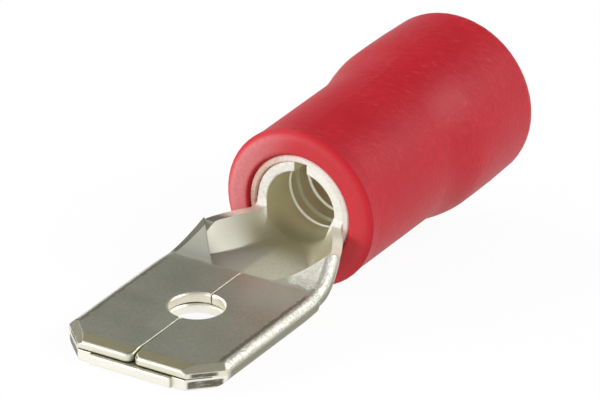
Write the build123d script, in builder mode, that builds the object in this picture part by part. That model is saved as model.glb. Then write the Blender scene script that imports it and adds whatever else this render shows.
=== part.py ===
# Insulated male spade terminal: a folded tab that rolls into a wire barrel, a thin
# metal sleeve round the barrel, and a soft sheath that holds the cable.
#
# Frame: the tab points toward -X with the front of its leaves at x = 0, +Y is across the
# tab and +Z is up. The underside of the tab is at z = 0. All sizes are in millimetres.

import os

from build123d import *

# Sheet and tab: the sheet is folded double, with two leaves meeting on top of the base
tab_width = 6.3
tab_thickness = 0.8
ply_gap = 0.03
sheet = (tab_thickness - ply_gap) / 2
seam_gap = 0.04
seam_edge = 0.03

# Tip of the tab
tip_corner = 1.05
tongue_width = 3.2
tongue_reach = 0.15
bevel_run = 0.5
bevel_drop = 0.1
corner_bevel_run = 0.25
corner_bevel_drop = 0.2
leaf_corner = 0.3
tongue_round = 0.08
leaf_round = 0.1
ply_round = 0.05

# Hole that a dimple in the socket snaps into
hole_x = 4.1
hole_radius = 0.93
hole_rim = 0.1
leaf_corner_at_hole = 0.2

# Waist, where the sides of the tab start to draw in
waist_start = 5.2
waist_stations = 4
side_power = 2.9

# Neck, where the leaves open and the sheet turns into the barrel
neck_start = 6.95
neck_end = 10.75
neck_stations = 6
crease_start = 7.3
crease_power = 0.64
bend_share = 0.3
lift_power = 2.6
level_power = 5
leaf_corner_at_neck = 0.12
leaf_rear_half = 1.15
shoulder_x = 8.85
shoulder_half = 2.7
shoulder_z = 1.27
wall_end_z = 1.28
wall_root = 0.35
leaf_lift_end = 8.55
leaf_lift_points = 5

# Wire barrel with its open seam and the grooves that grip the strands
barrel_radius = 1.72
barrel_drop = 0.09
barrel_end = 16.2
barrel_seam = 0.5
groove_first = 12.35
groove_pitch = 1.2
groove_count = 3
groove_width = 0.56
groove_depth = 0.12
barrel_round = 0.07

# Crimp sleeve
sleeve_inner = 1.735
sleeve_outer = 1.97
sleeve_start = 10.67
sleeve_edge = 0.04

# Soft sheath
sheath_start = 10.55
sheath_rim_x = 10.78
sheath_end = 21.55
sheath_rim = 2.92
sheath_body = 2.88
sheath_flare = 3.18
sheath_tail = 3.12
front_flat = 2.5
rim_round = 0.05
rim_fade_x = 11.3
flare_start = 15.85
flare_end = 18.0
sheath_bore = 1.98
lip_round = 0.2
tail_round = 0.6
throat_length = 0.35
cable_bore = 2.3
cable_room_start = 17.8
mouth_round = 0.2

# Sizes worked out from the ones above
hairline = ply_gap / 3
fold_radius = (tab_thickness - hairline) / 2
ply_top = sheet + ply_gap / 2
above = 2 * barrel_radius + 1
beyond = tab_width
barrel_centre = barrel_radius + hairline / 2 - barrel_drop
barrel_bore = barrel_radius - sheet
throat_start = barrel_end + hairline
throat_end = throat_start + throat_length


# The sheet at x is a trapezoid skeleton with a rounded outline drawn round it. The lower
# corners run inward along the floor crease and the upper ones climb along the fold: the
# flat folded tab turns into the round barrel, which hangs a little below the tab. A small
# share of the climb is straight, so the sheet has a crisp bend where the neck starts.
def skeleton(x):
    u = max((x - neck_start) / (neck_end - neck_start), 0)
    draw_in = (x - waist_start) / (neck_end - waist_start)
    growth = barrel_radius - fold_radius
    sag = barrel_drop * u**2
    outline = fold_radius + growth * u**3
    side_half = tab_width / 2 - (tab_width / 2 - barrel_radius) * draw_in**side_power
    turned_in = max((x - crease_start) / (neck_end - crease_start), 0)
    floor_half = (side_half - fold_radius) * (1 - turned_in) ** crease_power + hairline * u
    upper_half = max(side_half - outline, hairline)
    climb = bend_share * u + (1 - bend_share) * (1 - (1 - u**lift_power) ** level_power)
    upper_z = fold_radius + hairline + growth * climb - sag
    corners = [
        (floor_half, outline - sag),
        (upper_half, upper_z),
        (-upper_half, upper_z),
        (-floor_half, outline - sag),
    ]
    return corners, outline


# The outside of the sheet at x, or with inset = sheet the hollow inside it
def station(x, inset=0):
    corners, outline = skeleton(x)
    with BuildSketch(Plane.YZ.offset(x)) as section:
        Polygon(*corners, align=None)
        offset(amount=outline - inset, kind=Kind.ARC, mode=Mode.REPLACE)
    return section.sketch


# Evenly spaced places from start to end, with both ends
def spread(start, end, count):
    return [start + (end - start) * step / (count - 1) for step in range(count)]


folded_section = station(waist_start) - station(waist_start, sheet)
barrel_section = station(neck_end) - station(neck_end, sheet)

# Waste beside the tongue and off the two corners of the tip
with BuildPart() as tip_waste:
    with BuildSketch(Plane.XY) as tip_plan:
        with Locations((-beyond / 2, 0)):
            Rectangle(beyond, 2 * beyond)
            Rectangle(beyond, tongue_width, mode=Mode.SUBTRACT)
        with BuildLine():
            Polyline(
                (-tip_corner, tab_width / 2 - 2 * tip_corner),
                (2 * tip_corner, tab_width / 2 + tip_corner),
                (-tip_corner, tab_width / 2 + tip_corner),
                close=True,
            )
        make_face()
        mirror(about=Plane.XZ)
    extrude(amount=above)

# Everything that is open above the lower ply. In plan: the gap in front of the leaves, the
# seam, the hole and the mouth that widens from the rear of the leaves to the shoulders.
with BuildPart() as opening:
    with BuildSketch(Plane.XY) as opening_plan:
        with Locations((-beyond / 2, 0)):
            Rectangle(beyond, 2 * beyond)
        with Locations((neck_start / 2, 0)):
            Rectangle(neck_start + seam_gap, seam_gap)
        with Locations((hole_x, 0)):
            Circle(hole_radius)
        with BuildLine():
            Polyline(
                (neck_start, -leaf_rear_half),
                (shoulder_x, -shoulder_half),
                (shoulder_x, -beyond),
                (neck_end, -beyond),
                (neck_end, beyond),
                (shoulder_x, beyond),
                (shoulder_x, shoulder_half),
                (neck_start, leaf_rear_half),
                close=True,
            )
        make_face()
        seam_corners = opening_plan.vertices().filter_by(lambda v: abs(v.Y) < seam_gap).group_by(Axis.X)
        fillet(seam_corners[0], radius=leaf_corner)
        fillet(seam_corners[1] + seam_corners[2], radius=leaf_corner_at_hole)
        fillet(seam_corners[3], radius=leaf_corner_at_neck)
    extrude(amount=above)
    # In side view: along the ply gap, up through the hollow under the lifting leaves, and
    # along the tops of the walls to the front of the barrel
    lift = spread(neck_start, leaf_lift_end, leaf_lift_points)
    hollow = [(x, skeleton(x)[0][1][1]) for x in lift]
    with BuildSketch(Plane.XZ) as opening_side:
        with BuildLine():
            Line((-beyond, hollow[0][1]), hollow[0])
            Spline(*hollow)
            Polyline(
                hollow[-1],
                (shoulder_x, shoulder_z),
                (neck_end, wall_end_z),
                (neck_end, above),
                (-beyond, above),
                (-beyond, hollow[0][1]),
            )
        make_face()
        fillet(opening_side.vertices().sort_by_distance((neck_end, wall_end_z))[0], radius=wall_root)
    extrude(amount=beyond, both=True, mode=Mode.INTERSECT)

# Bevels coined into the top of the tip: a shallow one along the front edge of the leaves,
# and steeper ones over the cut corners
with BuildPart() as tip_bevels:
    with BuildSketch(Plane.XZ) as front_bevel:
        Polygon(
            (-bevel_run, tab_thickness - 2 * bevel_drop),
            (bevel_run, tab_thickness),
            (-bevel_run, tab_thickness + bevel_drop),
            align=None,
        )
    extrude(amount=beyond, both=True)
    corner_edge = Plane(
        origin=(tip_corner / 2, tab_width / 2 - tip_corner / 2, tab_thickness),
        x_dir=(1, -1, 0),
        z_dir=(1, 1, 0),
    )
    with BuildSketch(corner_edge) as corner_bevel:
        Polygon(
            (-corner_bevel_run, 2 * corner_bevel_drop),
            (corner_bevel_run, 0),
            (-corner_bevel_run, -corner_bevel_drop),
            align=None,
        )
    extrude(amount=tip_corner, both=True)
    mirror(about=Plane.XZ)

# Rounded edges that punching leaves round the hole, the notch between the plies in its
# wall, and the rounded edges of the leaves along the seam
with BuildPart() as soft_edges:
    with BuildSketch(Plane.XZ) as rim_profiles:
        with Locations((hole_x + hole_radius, tab_thickness), (hole_x + hole_radius, 0)):
            Rectangle(2 * hole_rim, 2 * hole_rim)
        with Locations(
            (hole_x + hole_radius + hole_rim, tab_thickness - hole_rim),
            (hole_x + hole_radius + hole_rim, hole_rim),
        ):
            Circle(hole_rim, mode=Mode.SUBTRACT)
        with Locations((hole_x + hole_radius, ply_top)):
            Rectangle(hole_rim, hole_rim, rotation=45)
    revolve(axis=Axis((hole_x, 0, 0), (0, 0, 1)))
    with BuildSketch(Plane.YZ.offset(-bevel_run)) as seam_profile:
        Polygon(
            (0, tab_thickness - seam_gap / 2 - seam_edge),
            (2 * seam_edge + seam_gap, tab_thickness + seam_gap / 2 + seam_edge),
            (-2 * seam_edge - seam_gap, tab_thickness + seam_gap / 2 + seam_edge),
            align=None,
        )
    extrude(amount=neck_start + bevel_run)

# The folded tab, two plies joined by the folds along its sides. Stamping rounds the edges
# at the front of the tongue and of both leaves.
with BuildPart() as folded_tab:
    add(folded_section)
    extrude(amount=waist_start + tongue_reach, dir=(-1, 0, 0))
    with BuildSketch(Plane.XY):
        with Locations((hole_x, 0)):
            Circle(hole_radius)
    extrude(amount=above, mode=Mode.SUBTRACT)
    add(tip_waste.part, mode=Mode.SUBTRACT)
    add(opening.part, mode=Mode.SUBTRACT)
    add(tip_bevels.part, mode=Mode.SUBTRACT)
    add(soft_edges.part, mode=Mode.SUBTRACT)
    fillet(folded_tab.edges().group_by(Axis.X)[0], radius=tongue_round)
    leaf_front = folded_tab.edges().filter_by_position(Axis.X, -hairline, hairline)
    fillet(leaf_front.filter_by_position(Axis.Z, tab_thickness - corner_bevel_drop, tab_thickness), radius=leaf_round)
    leaf_front = folded_tab.edges().filter_by_position(Axis.X, -hairline, hairline)
    fillet(leaf_front.filter_by_position(Axis.Z, ply_top, ply_top + ply_gap), radius=ply_round)

# The waist: still two flat plies, but its sides draw in toward the neck
with BuildPart() as waist:
    for x in spread(waist_start, neck_start, waist_stations):
        add(station(x))
    loft()
    for x in spread(waist_start, neck_start, waist_stations):
        add(station(x, sheet))
    loft(mode=Mode.SUBTRACT)
    add(opening.part, mode=Mode.SUBTRACT)
    add(soft_edges.part, mode=Mode.SUBTRACT)

# The neck: the leaves lift away from the seam, the folds open and the floor narrows
with BuildPart() as neck:
    for x in spread(neck_start, neck_end, neck_stations):
        add(station(x))
    loft()
    for x in spread(neck_start, neck_end, neck_stations):
        add(station(x, sheet))
    loft(mode=Mode.SUBTRACT)
    add(opening.part, mode=Mode.SUBTRACT)

# Both edges of the barrel's front end, worn round where they stand free above its axis
with BuildPart() as barrel_edges:
    with BuildSketch(Plane.XZ) as edge_profiles:
        with Locations((neck_end, barrel_centre + barrel_bore), (neck_end, barrel_centre + barrel_radius)):
            Rectangle(2 * barrel_round, 2 * barrel_round)
        with Locations(
            (neck_end + barrel_round, barrel_centre + barrel_bore + barrel_round),
            (neck_end + barrel_round, barrel_centre + barrel_radius - barrel_round),
        ):
            Circle(barrel_round, mode=Mode.SUBTRACT)
    revolve(axis=Axis((0, 0, barrel_centre), (1, 0, 0)))
    with BuildSketch(Plane.XY.offset(barrel_centre)):
        with Locations((neck_end, 0)):
            Rectangle(beyond, beyond)
    extrude(amount=-above, mode=Mode.SUBTRACT)

# The wire barrel, with its seam open at the top and the grooves rolled into its bore
with BuildPart() as barrel:
    add(barrel_section)
    extrude(amount=barrel_end - neck_end, dir=(1, 0, 0))
    with BuildSketch(Plane.XZ) as groove_profile:
        for index in range(groove_count):
            groove_x = groove_first + groove_width / 2 + groove_pitch * index
            with Locations((groove_x, barrel_centre + barrel_bore)):
                Trapezoid(groove_width, groove_depth, 60, align=(Align.CENTER, Align.MIN))
    revolve(axis=Axis((0, 0, barrel_centre), (1, 0, 0)), mode=Mode.SUBTRACT)
    with BuildSketch(Plane.XY.offset(barrel_centre)) as seam_plan:
        with Locations(((neck_end + barrel_end) / 2, 0)):
            Rectangle(barrel_end - neck_end, barrel_seam)
    extrude(amount=above, mode=Mode.SUBTRACT)
    add(barrel_edges.part, mode=Mode.SUBTRACT)

with BuildPart() as tab_terminal:
    add(folded_tab.part)
    add(waist.part)
    add(neck.part)
    add(barrel.part)

# Thin tube that closes round the barrel and is crimped with it
with BuildPart() as crimp_sleeve:
    with BuildSketch(Plane.XZ) as sleeve_profile:
        with Locations((sleeve_start, barrel_centre + sleeve_inner)):
            Rectangle(barrel_end - sleeve_start, sleeve_outer - sleeve_inner, align=Align.MIN)
        chamfer(sleeve_profile.vertices(), length=sleeve_edge)
    revolve(axis=Axis((0, 0, barrel_centre), (1, 0, 0)))

# Soft sheath: it grips the sleeve, guides the strands through a throat as wide as the
# barrel's bore, and widens behind it for the cable's own insulation
with BuildPart() as insulation:
    with BuildSketch(Plane(origin=(0, 0, barrel_centre), x_dir=(1, 0, 0), z_dir=(0, -1, 0))) as sheath_half:
        with BuildLine() as sheath_line:
            bore = Line((throat_start, sheath_bore), (sheath_start + lip_round, sheath_bore))
            lip = RadiusArc(bore @ 1, (sheath_start, sheath_bore + lip_round), lip_round)
            front = Line(lip @ 1, (sheath_start, front_flat))
            rim = TangentArc(front @ 1, (sheath_rim_x, sheath_rim), tangent=(0, 1))
            fade = Line(rim @ 1, (rim_fade_x, sheath_body))
            body = Line(fade @ 1, (flare_start, sheath_body))
            flare = Spline(body @ 1, (flare_end, sheath_flare), tangents=((1, 0), (1, 0)))
            tail = Spline(flare @ 1, (sheath_end - tail_round, sheath_tail), tangents=((1, 0), (1, -0.05)))
            end = RadiusArc(tail @ 1, (sheath_end, sheath_tail - tail_round), tail_round)
            end_face = Line(end @ 1, (sheath_end, cable_bore + mouth_round))
            mouth = RadiusArc(end_face @ 1, (sheath_end - mouth_round, cable_bore), mouth_round)
            cable_room = Line(mouth @ 1, (cable_room_start, cable_bore))
            funnel = Line(cable_room @ 1, (throat_end, barrel_bore))
            throat = Line(funnel @ 1, (throat_start, barrel_bore))
            step = Line(throat @ 1, bore @ 0)
        make_face()
        fillet(sheath_half.vertices().sort_by_distance(rim @ 1)[0], radius=rim_round)
    revolve(axis=Axis((0, 0, barrel_centre), (1, 0, 0)))

os.makedirs("parts", exist_ok=True)

tab_terminal.part.label = "tab_terminal"
export_step(tab_terminal.part, "parts/tab_terminal.step")

crimp_sleeve.part.label = "crimp_sleeve"
export_step(crimp_sleeve.part, "parts/crimp_sleeve.step")

insulation.part.label = "insulation"
export_step(insulation.part, "parts/insulation.step")
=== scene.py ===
# %% [markdown]
# # A male spade terminal in its red sheath
#
# The real object is a strip of tinned brass, folded double into a flat tab and rolled at
# the rear into a barrel for the strands of a wire. A thin metal sleeve goes round the
# barrel, and a soft red sheath goes over both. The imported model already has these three
# pieces at their true size, so this script keeps them where they are and gives them
# finishes, light, a floor and a camera.
#
# We start by loading that model. Everything in it is in metres, with +Z up.

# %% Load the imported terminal
import math

import bpy
from mathutils import Matrix, Vector

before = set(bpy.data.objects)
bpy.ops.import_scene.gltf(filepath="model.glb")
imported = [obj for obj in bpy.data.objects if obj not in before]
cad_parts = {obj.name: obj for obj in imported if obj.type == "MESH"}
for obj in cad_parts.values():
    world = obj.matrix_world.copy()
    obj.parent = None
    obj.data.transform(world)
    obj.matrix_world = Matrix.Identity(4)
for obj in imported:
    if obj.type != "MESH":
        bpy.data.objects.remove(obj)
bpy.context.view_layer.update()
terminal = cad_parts["tab_terminal"]
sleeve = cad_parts["crimp_sleeve"]
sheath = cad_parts["insulation"]

# %% [markdown]
# ## Measures
#
# The finishes change with the place on the object: a cut edge is brighter than a rolled
# face, and the sheath is scuffed where it stands out. A designer's sizes are in
# millimetres, so we write them that way and turn them into metres once. X runs back from
# the tip of the tab, Y across it and Z up from its underside.

# %% Measures of this terminal
mm = 0.001
tip_corner = 1.05 * mm
leaf_under = 0.42 * mm
tab_top = 0.8 * mm
fold_y = 2.74 * mm
hole_x = 4.1 * mm
hole_radius = 0.93 * mm
hole_rim_width = 0.1 * mm
bend_x = 6.95 * mm
shoulder_x = 8.85 * mm
mouth_x = 10.75 * mm
groove_x = 12.35 * mm
groove_pitch = 1.2 * mm
axis_height = 1.635 * mm
print("hole at", hole_x, "m, mouth of the barrel at", mouth_x, "m")

# %% [markdown]
# ## Camera
#
# The photograph was taken from far away with a long lens, so its lines hardly meet. We
# could move the camera by eye, but a calibrated one is better: its direction, roll,
# distance and scale were worked out from edges of known size. The camera looks at a
# point inside the barrel's mouth. Its lens follows from how many pixels a millimetre
# takes up at that point in a picture that is 600 pixels wide.

# %% Camera at the photograph's angle
picture_width = 600
aim = Vector((10.0, 0.0, 1.5)) * mm
distance = 300 * mm
azimuth = math.radians(31.2895)
elevation = math.radians(26.845)
roll = math.radians(0.4659)
pixels_per_mm = 29.3056
slide_right = 0.3893 * mm
slide_up = 0.6752 * mm

toward_camera = Vector(
    (
        -math.cos(elevation) * math.cos(azimuth),
        -math.cos(elevation) * math.sin(azimuth),
        math.sin(elevation),
    )
)
level_right = Vector((0, 0, 1)).cross(toward_camera).normalized()
level_up = toward_camera.cross(level_right)
right = math.cos(roll) * level_right + math.sin(roll) * level_up
up = math.cos(roll) * level_up - math.sin(roll) * level_right

camera_data = bpy.data.cameras.new("long_lens")
camera_data.sensor_fit = "HORIZONTAL"
camera_data.lens = pixels_per_mm * distance / mm * camera_data.sensor_width / picture_width
camera_data.clip_start = 10 * mm
camera = bpy.data.objects.new("long_lens", camera_data)
place = aim + toward_camera * distance + right * slide_right + up * slide_up
turn = Matrix((right, up, toward_camera)).transposed().to_4x4()
camera.matrix_world = Matrix.Translation(place) @ turn
bpy.context.scene.collection.objects.link(camera)
bpy.context.scene.camera = camera
print("lens", round(camera_data.lens), "mm, camera at", [round(value / mm) for value in place], "mm")

# %% [markdown]
# ## A small language for shaders
#
# A finish is a sum of masks and noises, which is easier to read as an expression than as
# a drawing of nodes. So one class wraps a socket, and arithmetic on it adds Math nodes.
# Every other node comes from one method, which takes the node's type, its settings and
# the values or links of its sockets. A few short methods name what the finishes use most.


# %% Sockets that can be calculated with
class Signal:
    """The output of a node, with arithmetic that adds Math nodes behind it."""

    def __init__(self, finish, socket):
        self.finish = finish
        self.socket = socket

    def math(self, operation, first, second=0.0):
        settings = {"operation": operation}
        return self.finish.node("ShaderNodeMath", settings, {0: first, 1: second})

    def __add__(self, other):
        return self.math("ADD", self, other)

    def __sub__(self, other):
        return self.math("SUBTRACT", self, other)

    def __rsub__(self, other):
        return self.math("SUBTRACT", other, self)

    def __mul__(self, other):
        return self.math("MULTIPLY", self, other)

    def __truediv__(self, other):
        return self.math("DIVIDE", self, other)

    def __neg__(self):
        return self.math("MULTIPLY", self, -1.0)

    def __abs__(self):
        return self.math("ABSOLUTE", self)

    __radd__ = __add__
    __rmul__ = __mul__


class Finish:
    """A material or world tree under construction."""

    def __init__(self, owner):
        owner.use_nodes = True
        self.tree = owner.node_tree
        self.tree.nodes.clear()

    def node(self, kind, settings=None, inputs=None, output=0):
        """Adds a node and gives back one of its outputs, or the node if it has none."""
        made = self.tree.nodes.new(kind)
        for name, value in (settings or {}).items():
            setattr(made, name, value)
        for name, value in (inputs or {}).items():
            if isinstance(value, Signal):
                self.tree.links.new(value.socket, made.inputs[name])
            else:
                made.inputs[name].default_value = value
        return Signal(self, made.outputs[output]) if made.outputs else made

    def step(self, value, low, high):
        """0 below low, 1 above high, and a smooth rise between them."""
        inputs = {"Value": value, "From Min": low, "From Max": high}
        return self.node("ShaderNodeMapRange", {"interpolation_type": "SMOOTHSTEP"}, inputs)

    def fall(self, value, low, high):
        """1 below low, 0 above high, and a smooth fall between them."""
        return 1 - self.step(value, low, high)

    def band(self, value, low, high, soft):
        """1 between low and high, and 0 outside, with edges soft wide."""
        return self.step(value, low - soft, low) * self.fall(value, high, high + soft)

    def largest(self, mask, *others):
        """The largest of some masks, so that they don't add up where they meet."""
        for other in others:
            mask = self.node("ShaderNodeMath", {"operation": "MAXIMUM"}, {0: mask, 1: other})
        return mask

    def noise(self, place, size, detail=2.0, roughness=0.5):
        """Cloudy noise from 0 to 1 whose blobs are about size metres across."""
        inputs = {"Vector": place, "Scale": 1 / size, "Detail": detail, "Roughness": roughness}
        return self.node("ShaderNodeTexNoise", {}, inputs)

    def reach(self, across, up):
        """The distance from an axis, from the offsets across it and up from it."""
        return self.node("ShaderNodeMath", {"operation": "SQRT"}, {0: across * across + up * up})

    def parts(self, vector):
        """The X, Y and Z of a vector."""
        first = self.node("ShaderNodeSeparateXYZ", {}, {0: vector})
        return [Signal(self, socket) for socket in first.socket.node.outputs]

    def stretch(self, vector, scale):
        """A vector with each of its parts multiplied."""
        settings = {"operation": "MULTIPLY"}
        return self.node("ShaderNodeVectorMath", settings, {0: vector, 1: scale})

    def lean(self, factor, first, second):
        """A direction that goes from first to second as factor goes from 0 to 1."""
        inputs = {0: factor, 4: first, 5: second}
        return self.node("ShaderNodeMix", {"data_type": "VECTOR"}, inputs, output=1)

    def blend(self, factor, first, second):
        """A colour that goes from first to second as factor goes from 0 to 1."""
        inputs = {0: factor, 6: first, 7: second}
        return self.node("ShaderNodeMix", {"data_type": "RGBA"}, inputs, output=2)

    def coats(self, color, *layers):
        """A colour with others laid over it in turn, each as far as its mask says."""
        for mask, coat in layers:
            color = self.blend(mask, color, coat)
        return color


def put_on(piece, material, surface):
    """Ends a material with its surface and makes it the only one on the piece."""
    surface.finish.node("ShaderNodeOutputMaterial", {}, {"Surface": surface})
    piece.data.materials.clear()
    piece.data.materials.append(material)
    print(material.name, "on", piece.name)


print("shader language ready")

# %% [markdown]
# ## The floor
#
# Nothing holds this terminal level. Laid down, it rests on the tip of its tab and on the
# front rim of its sheath, which is wider than the tab is thick. We leave the object as it
# was drawn and lean the floor instead, by the slope from the tip to the first part of the
# sheath that it meets. Measured on the meshes, that slope is right for any sheath.


# %% Find how the terminal lies
def lying_slope(tip, bodies):
    """The steepest way down from the tip that still meets a point of the bodies."""
    slopes = [
        -point.co.z / (point.co.x - tip.x)
        for body in bodies
        for point in body.data.vertices
        if point.co.x > tip.x + mm
    ]
    return math.atan(max(slopes))


tip_reach = min(point.co.x for point in terminal.data.vertices)
tip_under = Vector((tip_reach, 0, 0))
floor_slope = lying_slope(tip_under, [sheath, sleeve])
print("the floor leans by", round(math.degrees(floor_slope), 2), "degrees")

# %% [markdown]
# The floor is one plain white sheet. A diffuse white never quite reaches the paper white
# of the photograph without too much light on the object, so where the camera or a
# reflection looks at it, most of its brightness is its own. The rest still comes from
# the light, and keeps the soft shadow under the terminal.

# %% Make the floor
floor_half = 3.0
own_light = 0.94
floor_mesh = bpy.data.meshes.new("floor")
sides = [(-1, -1), (1, -1), (1, 1), (-1, 1)]
corners = [(along * floor_half, across * floor_half, 0) for along, across in sides]
floor_mesh.from_pydata(corners, [], [(0, 1, 2, 3)])
floor = bpy.data.objects.new("floor", floor_mesh)
floor.matrix_world = Matrix.Translation(tip_under) @ Matrix.Rotation(floor_slope, 4, "Y")
bpy.context.scene.collection.objects.link(floor)

paper = bpy.data.materials.new("white_paper")
shader = Finish(paper)
looked_at = shader.node("ShaderNodeLightPath", output="Is Camera Ray")
mirrored = shader.node("ShaderNodeLightPath", output="Is Glossy Ray")
glassed = shader.node("ShaderNodeLightPath", output="Is Transmission Ray")
seen = shader.node(
    "ShaderNodeMath", {"operation": "ADD", "use_clamp": True}, {0: looked_at, 1: mirrored + glassed}
)
lit = shader.node("ShaderNodeBsdfDiffuse", {}, {"Color": (0.9, 0.9, 0.9, 1)})
glow = shader.node("ShaderNodeEmission", {}, {"Color": (1, 1, 1, 1), "Strength": 1.0})
white = shader.node("ShaderNodeMixShader", {}, {0: seen * own_light, 1: lit, 2: glow})
put_on(floor, paper, white)

# %% [markdown]
# ## Light
#
# Metal shows whatever is around it, so a studio for metal is a set of large soft shapes.
# The sky here is an even grey that gets lighter toward the zenith, in front, behind on
# the right and low over the floor. All the light together brings a white card to about
# white, so colours render as written.

# %% The sky
world = bpy.data.worlds.new("studio")
bpy.context.scene.world = world
shader = Finish(world)
direction = shader.node("ShaderNodeTexCoord", output="Generated")
sky_x, sky_y, sky_z = shader.parts(direction)
overhead = shader.step(sky_z, 0.45, 1.0)
in_front = shader.step(-sky_x, 0.1, 0.9)
horizon = shader.fall(sky_z, 0.02, 0.3)
behind_right = shader.step(-sky_y, 0.1, 0.5) * shader.step(sky_x, 0.4, 0.8)
even_grey = 0.17
strength = even_grey + 0.06 * overhead + 0.6 * in_front + 0.45 * horizon + 0.25 * behind_right
sky = shader.node("ShaderNodeBackground", {}, {"Color": (1, 1, 1, 1), "Strength": strength})
shader.node("ShaderNodeOutputWorld", {}, {"Surface": sky})
print("sky ready")

# %% [markdown]
# Three soft panels give the bright bands along the folds. A panel's look depends on how
# wide it seems from the terminal and how bright its face is, so we ask for those two and
# work out its size and its power.

# %% The soft panels
panel_distance = 900 * mm


def soft_panel(name, toward, spread, brightness):
    """A square soft light that faces the terminal; spread is its angle in degrees."""
    data = bpy.data.lights.new(name, "AREA")
    data.shape = "SQUARE"
    data.size = 2 * panel_distance * math.tan(math.radians(spread / 2))
    data.energy = brightness * math.pi * data.size**2
    panel = bpy.data.objects.new(name, data)
    offset = Vector(toward).normalized() * panel_distance
    panel.location = aim + offset
    panel.rotation_euler = offset.to_track_quat("Z", "Y").to_euler()
    panel.visible_camera = False
    bpy.context.scene.collection.objects.link(panel)
    print(name, "toward", toward, "watts", round(data.energy, 3))


soft_panel("left_panel", toward=(0.12, 0.79, 0.60), spread=36, brightness=4.3)
soft_panel("front_panel", toward=(-0.78, 0.55, 0.2), spread=36, brightness=4.6)
soft_panel("right_panel", toward=(0.38, -0.715, 0.58), spread=34, brightness=6.2)

# %% [markdown]
# ## Tinned brass
#
# The strip is tinned before it is stamped. Its rolled faces have a satin, slightly olive
# tin with a fine grain, and every edge that the tools cut or coined is fresh and bright.
# An image could hold this, but masks made from the place and the slope of the surface
# stay sharp at any size: a face that looks toward the tip is a cut face, and so are the
# hole's wall, the tops of the side walls and the rear edges of the two leaves.

# %% Where the strip was cut
tinned_brass = bpy.data.materials.new("tinned_brass")
shader = Finish(tinned_brass)
place_on = shader.node("ShaderNodeTexCoord", output="Object")
slope = shader.node("ShaderNodeNewGeometry", output="True Normal")
x, y, z = shader.parts(place_on)
slope_x, slope_y, slope_z = shader.parts(slope)

hole_edge = hole_radius + hole_rim_width
from_hole = shader.reach(x - hole_x, y)
at_hole = shader.fall(from_hole, hole_edge - 0.02 * mm, hole_edge + 0.01 * mm)

before_bend = shader.fall(x, bend_x - 1.0 * mm, bend_x)
at_mouth = shader.band(x, mouth_x - 0.4 * mm, mouth_x + 0.4 * mm, 0.1 * mm)
faces_tip = shader.step(-slope_x, 0.6, 0.7) * (before_bend + at_mouth)

leaf_rear = shader.fall(abs(slope_z), 0.2, 0.4) * shader.step(slope_x, 0.25, 0.35)
leaf_rear = leaf_rear * shader.step(z, leaf_under, leaf_under + 0.02 * mm)
leaf_rear = leaf_rear * shader.fall(x, shoulder_x, shoulder_x + 0.05 * mm)

wall_top = shader.step(slope_z, 0.75, 0.85) * shader.step(z, 1.1 * mm, 1.15 * mm)
wall_top = wall_top * shader.step(x, shoulder_x, shoulder_x + 0.05 * mm)

cut = shader.largest(at_hole, faces_tip, leaf_rear, wall_top)
print("cut edges found by place and slope")

# %% [markdown]
# The folds were pressed hard, which leaves a ragged dark line where each fold starts and a
# coarse grain on its skin. The skin is also painted lighter, a painted highlight, and the
# underside of each fold darker, a painted shade. In the neck the left fold opens out and
# loses them.

# %% Where the strip was folded
blotch = shader.noise(place_on, 0.14 * mm, 4.0, 0.7)
scar = shader.noise(place_on, 0.09 * mm, 3.0, 0.7)
outward = shader.step(y * slope_y, 0.1 * mm, 0.3 * mm)

past_fold = abs(y) - fold_y + 0.36 * mm * (blotch - 0.5)
fold_start = shader.band(past_fold, 0.0, 0.1 * mm, 0.05 * mm) * shader.step(slope_z, 0.7, 0.9)
fold_start = fold_start * shader.band(x, 1.3 * mm, bend_x - 0.5 * mm, 0.4 * mm)

left_neck = shader.step(y, 0.3 * mm, 0.6 * mm) * shader.step(x, bend_x - 0.2 * mm, bend_x + 0.3 * mm)
on_tab = shader.step(x, 1.1 * mm, 1.3 * mm) * shader.fall(x, bend_x + 1.2 * mm, shoulder_x + 0.4 * mm)
fold_skin = shader.step(abs(slope_y), 0.15, 0.4) * outward * on_tab * (1 - left_neck)
fold_grain = fold_skin * shader.step(scar, 0.46, 0.58)
# painted shade on the underside of the folds
fold_under_shade = fold_skin * shader.fall(slope_z, 0.0, 0.75)
print("fold marks ready")

# %% [markdown]
# The cut corners at the tip show how the two plies close on each other. The hollows there
# are painted dark, a painted shade, with bright lips round them, and so is the top bevel of
# the left corner. The streaks in them run along the cut, so the noise is stretched along X
# and Y and squeezed along Z.

# %% Painted shade where the plies close at the corners
along_cut = x / tip_corner
on_corner = shader.band(-slope_x, 0.66, 0.75, 0.04)
upper_hollow = shader.band(z, 0.45 * mm, 0.56 * mm, 0.03 * mm) * shader.band(along_cut, 0.2, 0.7, 0.12)
lower_hollow = shader.band(z, 0.06 * mm, 0.28 * mm, 0.05 * mm) * shader.band(along_cut, 0.1, 0.85, 0.08)
streak_place = shader.stretch(place_on, (0.35, 0.35, 1.6))
streak = shader.step(shader.noise(streak_place, 0.1 * mm, 3.0, 0.6), 0.25, 0.5)
# painted shade in the hollows where the plies close
hollow_shade = shader.largest(upper_hollow, lower_hollow) * on_corner * (0.6 + 0.35 * streak)
# painted shade on the top bevel of the left corner
left_corner_shade = shader.step(slope_y, 0.1, 0.3) * shader.step(slope_z, 0.25, 0.45)
left_corner_shade = left_corner_shade * shader.fall(x, 1.15 * mm, 1.3 * mm) * (0.75 + 0.25 * streak)
print("corner hollows ready")

# %% [markdown]
# Bending dragged the strip over the tool: on the right leaf, just behind the bend, the tin
# is galled, bright and rough with a torn outline. The left shoulder is painted dark, a
# painted shade.
# The tops of the walls carry a burr, darker where it starts on the left, in the shoulder's
# painted shade, and pale all along the right. Near the mouth they are painted pink, more on
# the left, a painted reflection of the red sheath. The barrel's front end was torn off more
# than cut.

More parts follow.
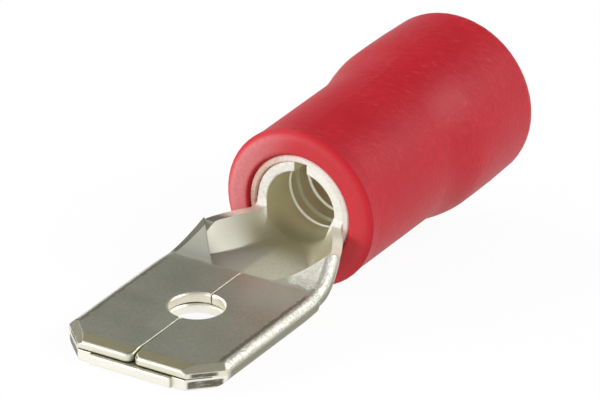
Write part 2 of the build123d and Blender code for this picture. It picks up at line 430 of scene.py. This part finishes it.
# %% Where the tools rubbed, with painted shade and a painted reflection
ragged = 0.9 * mm * (blotch - 0.5)
on_left = shader.step(y, -0.3 * mm, 0.3 * mm)
near_mouth = shader.step(x, mouth_x - 1.2 * mm, mouth_x - 0.2 * mm)

on_ramp = shader.band(x + ragged, bend_x + 0.35 * mm, shoulder_x, 0.15 * mm)
on_ramp = on_ramp * shader.step(slope_z, 0.25, 0.45)
right_side = shader.fall(y + ragged, -1.9 * mm, -1.6 * mm)
galled = on_ramp * right_side * shader.step(z, tab_top - 0.02 * mm, tab_top)
# the left shoulder is painted dark, a painted shade
shoulder = left_neck * outward * shader.fall(x, shoulder_x, shoulder_x + 0.5 * mm)

burr = wall_top * shader.step(blotch + 0.25 * near_mouth, 0.45, 0.65)
# pink near the mouth, more on the left, a painted reflection of the red sheath
pink_reflection = burr * (0.15 + 0.5 * near_mouth) * (0.4 + 0.6 * on_left)
# the burr's start on the left takes the shoulder's painted shade
burr_start = wall_top * shader.step(y, 0.0, 0.5 * mm)
burr_start = burr_start * shader.fall(x + ragged, shoulder_x + 0.4 * mm, shoulder_x + 1.0 * mm)
right_burr = wall_top * shader.step(x, shoulder_x, mouth_x - 0.9 * mm) * (1 - on_left)
torn_end = faces_tip * shader.band(x, mouth_x - 0.2 * mm, mouth_x + 0.2 * mm, 0.1 * mm)
print("tool marks ready")

# %% [markdown]
# Deep in the barrel, the lips of the first two grooves for the strands show as two bright
# arcs, painted a little lighter as a painted highlight; the first is painted fainter toward
# the open seam. The rear walls of the grooves look toward us and are painted darker, a
# painted shade.

# %% Painted highlight on the lips of the grooves, painted shade behind them
second_x = groove_x + groove_pitch
high_up = shader.step(z, 1.4 * mm, 2.4 * mm)
# painted highlight on the lips, fainter higher up
first_lip = shader.band(x, groove_x - 0.1 * mm, groove_x, 0.05 * mm) * (1 - 0.6 * high_up)
second_lip = 0.8 * shader.band(x, second_x - 0.12 * mm, second_x, 0.05 * mm)
groove_lip = shader.largest(first_lip, second_lip)
# painted shade on the rear walls of the grooves
groove_rear_shade = shader.step(-slope_x, 0.6, 0.8) * shader.step(x, groove_x + 0.3 * mm, groove_x + 0.4 * mm)
print("groove lips ready")

# %% [markdown]
# Now the colours go on, one coat over the other, as thick as their masks say. The first
# is the tin as the rollers left it: olive, slightly cloudy, with a fine mottle.

# %% The colour of the rolled faces
tin_face = (0.62, 0.63, 0.51, 1)
tin_dull = (0.55, 0.57, 0.45, 1)
tin_pressed = (0.30, 0.29, 0.21, 1)

cloud = shader.noise(place_on, 1.2 * mm, 3.0)
grain = shader.noise(place_on, 0.05 * mm)
mottle = shader.step(shader.noise(place_on, 0.11 * mm, 4.0, 0.7), 0.4, 0.65)
color = shader.coats(tin_dull, (cloud, tin_face), (0.22 * mottle, tin_pressed))
print("rolled tin ready")

# %% [markdown]
# The neck and the barrel see more of the strip itself than of the studio, and light and
# shade are painted into their tin. Painted shade darkens the ramp on the left, the inner
# face of the right wall and the floor low down near the mouth; the inner face of the left
# wall is painted pale, a painted light. The end of the right leaf gets a cooler tint, and
# inside the barrel the tin is painted cream, a painted light where only reflected light
# arrives.

# %% Painted light and shade in the neck and the barrel
tin_ramp_shade = (0.42, 0.42, 0.36, 1)
tin_wall_lit = (0.86, 0.87, 0.78, 1)
tin_shaded = (0.48, 0.45, 0.30, 1)
tin_cool = (0.60, 0.72, 0.64, 1)
tin_inside_lit = (0.95, 0.92, 0.72, 1)
tin_deep_lit = (0.90, 0.87, 0.70, 1)

faces_axis = shader.step(-(y * slope_y), 0.4 * mm, 0.9 * mm)
faces_axis = faces_axis * shader.step(x, bend_x + 0.8 * mm, shoulder_x)
leaf_end = shader.band(x, bend_x - 1.0 * mm, bend_x + 0.3 * mm, 1.4 * mm)
leaf_end = leaf_end * shader.fall(y, -1.6 * mm, 0.4 * mm)
inside = shader.step(x, bend_x + 2.4 * mm, mouth_x + 0.4 * mm)
deep = shader.step(x, mouth_x + 1.0 * mm, mouth_x + 2.0 * mm)
# painted shade low on the floor near the mouth
low_floor_shade = shader.band(x, bend_x + 3.2 * mm, mouth_x + 0.2 * mm, 1.0 * mm)
low_floor_shade = low_floor_shade * shader.fall(z, 0.3 * mm, 1.3 * mm)
# painted shade on the left ramp, the right wall and low on the floor, painted light on the left wall and
# inside the barrel
color = shader.coats(
    color,
    (left_neck, tin_ramp_shade),
    (faces_axis, shader.blend(on_left, tin_shaded, tin_wall_lit)),
    (0.6 * leaf_end, tin_cool),
    (inside, tin_inside_lit),
    (deep, tin_deep_lit),
    (0.75 * low_floor_shade, tin_shaded),
)
print("neck and barrel ready")

# %% [markdown]
# Then the marks of pressing: the galled patch and the coined slope at the tip. Over them go
# the painted shade on the shoulder, and on the folds a painted highlight on the skin and a
# painted shade on the underside.

# %% The colour of what the tools pressed, with painted light and shade
tin_galled = (0.60, 0.59, 0.52, 1)
tin_coined = (0.33, 0.30, 0.18, 1)
tin_shoulder_shade = (0.14, 0.135, 0.10, 1)
tin_skin_lit = (0.82, 0.81, 0.74, 1)
tin_under_shade = (0.26, 0.25, 0.18, 1)

galled_pits = 0.35 * galled * shader.step(blotch, 0.48, 0.62)
coined = shader.band(-slope_x, 0.12, 0.4, 0.08) * shader.step(slope_z, 0.5, 0.7)
coined = coined * shader.fall(x, 1.5 * mm, 2.0 * mm)
# painted shade on the shoulder and under the folds, painted highlight on the skin of the folds
color = shader.coats(
    color,
    (galled, tin_galled),
    (galled_pits, tin_pressed),
    (0.9 * coined, tin_coined),
    (shoulder, tin_shoulder_shade),
    (0.8 * fold_start, tin_pressed),
    (0.75 * fold_skin, tin_skin_lit),
    (fold_under_shade, tin_under_shade),
    (0.4 * fold_grain, tin_pressed),
)
print("pressed tin ready")

# %% [markdown]
# Last come the fresh edges: cut faces, a little brighter on the lower ply, then the painted
# shade on the left corner and in the hollows at the corners, the burrs with their painted
# pink reflection, the torn end of the barrel with fewer specks on its right as a painted
# light, and the painted highlight and shade of the grooves.

# %% The colour of the edges
tin_cut = (0.82, 0.78, 0.66, 1)
tin_sheared = (0.92, 0.90, 0.80, 1)
tin_hollow_shade = (0.10, 0.095, 0.065, 1)
red_reflection_tint = (0.80, 0.60, 0.53, 1)
tin_burr = (0.66, 0.70, 0.58, 1)
tin_torn = (0.98, 0.96, 0.91, 1)
tin_specks = (0.68, 0.65, 0.56, 1)
tin_lip_highlight = (0.99, 0.97, 0.82, 1)

low_ply = shader.fall(z, 0.36 * mm, 0.44 * mm)
spots = shader.step(blotch, 0.42, 0.62)
specks = 0.5 * spots + 0.5 * shader.step(scar, 0.48, 0.6)
color = shader.coats(
    color,
    (cut, shader.blend(low_ply, tin_cut, tin_sheared)),
    (left_corner_shade, tin_shoulder_shade),
    (hollow_shade, tin_hollow_shade),
    (pink_reflection, red_reflection_tint),
    (0.85 * burr_start, tin_shoulder_shade),
    (right_burr * (0.4 + 0.5 * spots), tin_burr),
    (torn_end, tin_torn),
    # fewer specks on the right end of the barrel, a painted light there
    (torn_end * specks * (0.3 + 0.4 * on_left), tin_specks),
    (groove_lip, tin_lip_highlight),
    (0.4 * groove_rear_shade, tin_under_shade),
)
print("edges ready")

# %% [markdown]
# The gloss follows the same masks. The strip is satin, duller in the neck and the barrel
# where nothing polished it, and glossier on the lips of the grooves.

# %% The gloss of the strip
under_leaves = shader.step(x, bend_x + 0.3 * mm, bend_x + 1.0 * mm)
under_leaves = under_leaves * shader.fall(z, tab_top - 0.1 * mm, tab_top - 0.02 * mm)
behind_shoulder = shader.step(x, shoulder_x - 0.1 * mm, shoulder_x + 0.1 * mm)
softened = shader.largest(faces_axis, under_leaves, behind_shoulder) * (1 - outward)
matt = 0.31 + 0.1 * cloud + 0.1 * grain + shader.largest(0.25 * inside, 0.27 * softened)
matt = matt + 0.2 * left_neck * (1 - softened) - 0.3 * groove_lip
print("gloss ready")

# %% [markdown]
# The relief is fine grain, with deeper scars where the fold was stretched and the tin
# galled. The Bevel node rounds every sharp edge a little, as tumbling does, so that edges
# catch the light. The two side walls are flat in the real strip, pressed against the tool,
# so there the surface direction is drawn toward that of a flat wall. The lips of the
# grooves are round and turn toward the mouth, where the light comes from.

# %% The relief, and the finish on the strip
toward_mouth = (-0.92, -0.24, 0.31)
worn_edges = shader.node("ShaderNodeBevel", {"samples": 6}, {"Radius": 0.05 * mm})
side = shader.node("ShaderNodeMath", {"operation": "SIGN"}, {0: y})
flat_wall = shader.node("ShaderNodeCombineXYZ", {}, {0: -0.3, 1: -0.7 * side, 2: 0.65})
pressed_flat = shader.band(x, shoulder_x - 0.6 * mm, mouth_x - 0.8 * mm, 0.5 * mm)
leaning = shader.lean(0.8 * faces_axis * pressed_flat, worn_edges, flat_wall)
leaning = shader.lean(groove_lip, leaning, toward_mouth)
direction = shader.node("ShaderNodeVectorMath", {"operation": "NORMALIZE"}, {0: leaning})
relief = 0.1 * grain + fold_skin * scar + 0.8 * galled * blotch + 0.3 * cut * blotch
ripple = shader.node(
    "ShaderNodeBump", {}, {"Strength": 1.0, "Distance": 0.03 * mm, "Height": relief, "Normal": direction}
)
torn_tin = shader.largest(0.8 * torn_end, 0.35 * galled, 0.7 * right_burr)
metal = shader.node(
    "ShaderNodeBsdfPrincipled",
    {},
    {"Base Color": color, "Metallic": 1 - torn_tin, "Roughness": matt, "Normal": ripple},
)
put_on(terminal, tinned_brass, metal)

# %% [markdown]
# ## Tinned copper
#
# Only the cut front end of the sleeve shows, as a bright ring with a faint pink of the
# copper under its tin. Low on the left, where the strip's wall rubbed it, the copper is
# bare and brown.

# %% Tinned copper for the sleeve
copper_tinned = (0.97, 0.90, 0.87, 1)
copper_worn = (0.84, 0.55, 0.46, 1)
copper_specks = (0.62, 0.40, 0.33, 1)
copper_bare = (0.30, 0.13, 0.09, 1)

tinned_copper = bpy.data.materials.new("tinned_copper")
shader = Finish(tinned_copper)
place_on = shader.node("ShaderNodeTexCoord", output="Object")
y, z = shader.parts(place_on)[1:]
cloud = shader.noise(place_on, 0.2 * mm, 3.0)
specks = shader.step(shader.noise(place_on, 0.08 * mm, 3.0, 0.7), 0.5, 0.64)
worn = shader.step(y + 1.2 * mm * (cloud - 0.5), -0.2 * mm, 1.6 * mm)
low_down = shader.fall(z + 0.6 * mm * (cloud - 0.5), 1.5 * mm, 2.1 * mm)
bare = shader.step(y, 1.3 * mm, 1.7 * mm) * low_down
color = shader.coats(
    copper_tinned,
    (worn, copper_worn),
    (specks * (0.25 + 0.4 * worn), copper_specks),
    (bare * (0.45 + 0.5 * specks), copper_bare),
)
metal = shader.node(
    "ShaderNodeBsdfPrincipled",
    {},
    {"Base Color": color, "Metallic": 0.6, "Roughness": 0.45 + 0.15 * cloud},
)
put_on(sleeve, tinned_copper, metal)

# %% [markdown]
# ## Red vinyl
#
# The sheath is soft moulded vinyl: a deep red with a low, broad sheen. Rubbing against
# others in a box leaves fine crinkles, which run slantwise over the top and upright down
# the sides. So the place on the sheath is turned a little round the vertical and squeezed
# along two of its directions before the noise reads it.

# %% Where the sheath was rubbed
turn_cos, turn_sin = 0.52, 0.85
squeeze_slant = 0.42
squeeze_up = 0.5

red_vinyl = bpy.data.materials.new("red_vinyl")
shader = Finish(red_vinyl)
place_on = shader.node("ShaderNodeTexCoord", output="Object")
slope = shader.node("ShaderNodeNewGeometry", output="True Normal")
x, y, z = shader.parts(place_on)
to_front = -shader.parts(slope)[0]
slant = turn_cos * x - turn_sin * y
across_slant = turn_sin * x + turn_cos * y
scuff_place = shader.node(
    "ShaderNodeCombineXYZ", {}, {0: squeeze_slant * slant, 1: across_slant, 2: squeeze_up * z}
)
scuff = shader.noise(scuff_place, 0.12 * mm, 4.0, 0.6)
along_side = shader.fall(to_front, 0.5, 0.8)
handled = shader.step(shader.noise(place_on, 1.3 * mm, 3.0), 0.35, 0.6) * along_side
crinkle = shader.step(scuff, 0.38, 0.66) * (0.4 * along_side + 0.6 * handled)
marks = shader.step(scuff, 0.6, 0.75) * handled
print("crinkles ready")

# %% [markdown]
# The front end was cut from a longer tube. Its face is painted a lighter, pinker red, a
# painted sheen, faint on the right and strongest on the upper left, with fine lines that
# run out from the axis. An angle round the axis draws those lines.

# %% Where the knife cut the sheath, and the painted sheen on its face
from_middle = z - axis_height
around = shader.node("ShaderNodeMath", {"operation": "ARCTAN2"}, {0: y, 1: from_middle})
outward_place = shader.reach(y, from_middle) / (4 * mm)
line_place = shader.node("ShaderNodeCombineXYZ", {}, {0: around, 1: outward_place, 2: 0.0})
knife_lines = shader.noise(line_place, 0.05, 3.0, 0.6)
# the painted sheen is strongest on the upper left of the front face
sheen_side = shader.step(y + 0.3 * from_middle, 0.6 * mm, 2.8 * mm)
front_sheen = shader.step(to_front, 0.75, 0.98) * (0.09 + 0.68 * sheen_side) * (0.6 + 0.8 * knife_lines)
print("knife lines ready")

# %% [markdown]
# The crinkles change the colour a little, and the roughness and the bump with it. The front
# face is painted a brighter red, a painted light, and the painted sheen goes over it.

# %% Red vinyl for the sheath
vinyl_deep = (0.36, 0.003, 0.011, 1)
vinyl_red = (0.55, 0.012, 0.024, 1)
vinyl_marks = (0.66, 0.11, 0.13, 1)
vinyl_front_lit = (0.60, 0.010, 0.022, 1)
vinyl_sheen = (0.74, 0.27, 0.28, 1)

cloud = shader.noise(place_on, 2.5 * mm, 3.0)
mottle = shader.noise(place_on, 0.25 * mm, 3.0, 0.6)
color = shader.coats(
    vinyl_deep,
    (0.45 * cloud + 0.25 * mottle + 0.3 * crinkle, vinyl_red),
    (0.3 * marks, vinyl_marks),
    # painted light on the front face, then the painted sheen
    (1 - along_side, vinyl_front_lit),
    (front_sheen, vinyl_sheen),
)
matt = 0.44 + 0.12 * cloud + 0.1 * marks
dents = shader.node("ShaderNodeBump", {}, {"Strength": 0.4, "Distance": 0.015 * mm, "Height": crinkle})
vinyl = shader.node(
    "ShaderNodeBsdfPrincipled",
    {},
    {"Base Color": color, "Roughness": matt, "Normal": dents, "IOR": 1.38},
)
put_on(sheath, red_vinyl, vinyl)

# %% The view transform
bpy.context.scene.view_settings.view_transform = "Standard"
